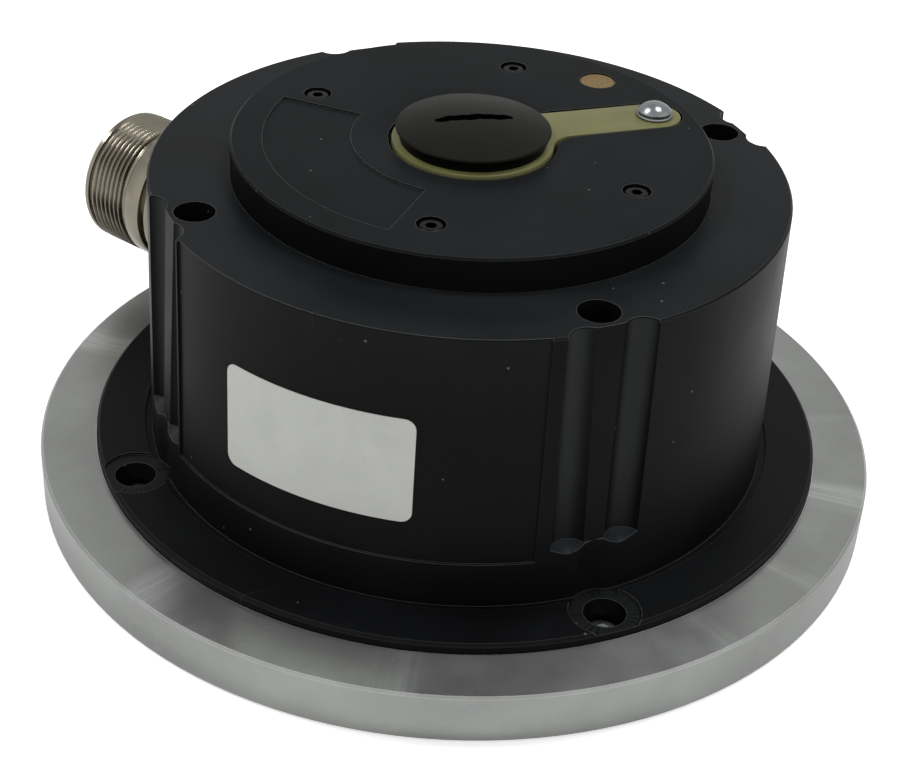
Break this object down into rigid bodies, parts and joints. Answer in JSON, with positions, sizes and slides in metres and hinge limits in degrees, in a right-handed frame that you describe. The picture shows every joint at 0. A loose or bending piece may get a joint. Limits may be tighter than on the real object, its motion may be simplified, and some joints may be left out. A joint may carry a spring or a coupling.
{
  "type": "motor feedback encoder",
  "caption": "Round hollow-shaft motor feedback encoder: black flanged housing on a turned ring, cover with a screw-in sealing plug, side connector with an outer thread.",
  "frame": {"origin": "centre of the adapter ring's underside, on the shaft's axis, where the encoder meets the motor", "axes": "+Z along the shaft's axis, away from the motor towards the cover; the housing's four screw stations lie on +X, +Y, -X and -Y; the connector points 119.3 degrees round from +X towards +Y"},
  "size_m": [0.134, 0.1373, 0.0623],
  "materials": {
    "ring_aluminium": "turned, bare",
    "black_anodised": "black anodised aluminium, satin",
    "cover_black": "black anodised, satin",
    "plug_black": "moulded, glossy",
    "strap_olive": "moulded, olive",
    "zinc_screw": "zinc plated",
    "black_screw": "black oxide",
    "nickel": "nickel plated brass",
    "insert_grey": "moulded",
    "gold_contact": "gold plated",
    "sintered_bronze": "sintered",
    "seal_rubber": "matt",
    "bearing_steel": "ground",
    "cage_plastic": "moulded",
    "spring_steel": "rolled",
    "shaft_steel": "turned",
    "carrier_aluminium": "turned",
    "code_glass": "polished",
    "board_green": "solder mask",
    "chip_black": "moulded",
    "header_white": "moulded",
    "lead_jacket": "extruded"
  },
  "bodies": {
    "encoder_body": {"adapter_ring": "ring_aluminium", "housing": "black_anodised", "base_plate": "black_anodised", "shaft_seal": "seal_rubber", "housing_screws": "black_screw", "flange_screws": "zinc_screw", "cover_disc": "cover_black", "cover_gasket": "seal_rubber", "cover_screws": "black_screw", "vent_disc": "sintered_bronze", "retaining_strap": "strap_olive", "strap_washer": "zinc_screw", "strap_screw": "zinc_screw", "connector_shell": "nickel", "connector_gasket": "seal_rubber", "connector_nut": "nickel", "connector_insert": "insert_grey", "contact_pins": "gold_contact", "internal_lead": "lead_jacket", "lead_header": "header_white", "bearing_carrier": "carrier_aluminium", "stator_coupling": "spring_steel", "coupling_screws": "zinc_screw", "bearing_spacer": "bearing_steel", "wave_spring": "spring_steel", "bore_circlip": "spring_steel", "lower_bearing_outer_ring": "bearing_steel", "upper_bearing_outer_ring": "bearing_steel", "light_source": "chip_black", "detector_reader": "chip_black", "lower_board": "board_green", "upper_board": "board_green", "board_pillars": "carrier_aluminium", "board_spacers": "carrier_aluminium", "board_screws": "zinc_screw", "pillar_screws": "zinc_screw", "signal_processor": "chip_black"},
    "rotor": {"hollow_shaft": "shaft_steel", "shaft_screw": "zinc_screw", "shaft_circlip": "spring_steel", "shaft_spacer": "bearing_steel", "lower_bearing_inner_ring": "bearing_steel", "upper_bearing_inner_ring": "bearing_steel", "disc_hub": "carrier_aluminium", "code_disc": "code_glass", "disc_clamp_ring": "carrier_aluminium"},
    "lower_cage": {"lower_bearing_cage": "cage_plastic", "lower_bearing_balls": "bearing_steel"},
    "upper_cage": {"upper_bearing_cage": "cage_plastic", "upper_bearing_balls": "bearing_steel"},
    "plug_seal": {"plug_o_ring": "seal_rubber"},
    "plug": {"sealing_plug": "plug_black"}
  },
  "joints": [
    {"name": "shaft_spin", "type": "hinge", "parent": "encoder_body", "child": "rotor", "pos_m": [0, 0, 0.02], "axis": [0, 0, 1], "continuous": true},
    {"name": "lower_cage_spin", "type": "hinge", "parent": "encoder_body", "child": "lower_cage", "pos_m": [0, 0, 0.0157], "axis": [0, 0, 1], "continuous": true},
    {"name": "upper_cage_spin", "type": "hinge", "parent": "encoder_body", "child": "upper_cage", "pos_m": [0, 0, 0.0277], "axis": [0, 0, 1], "continuous": true},
    {"name": "plug_lift", "type": "slide", "parent": "encoder_body", "child": "plug_seal", "axis": [0, 0, 1], "range_m": [0, 0.00675]},
    {"name": "plug_turn", "type": "hinge", "parent": "plug_seal", "child": "plug", "pos_m": [0, 0, 0.056], "axis": [0, 0, 1], "range_deg": [0, 1622]}
  ],
  "couplings": [
    {"joint": "lower_cage_spin", "follows": "shaft_spin", "ratio": 0.44879},
    {"joint": "upper_cage_spin", "follows": "shaft_spin", "ratio": 0.44879},
    {"joint": "plug_turn", "follows": "plug_lift", "rad_per_m": 4188.8}
  ]
}
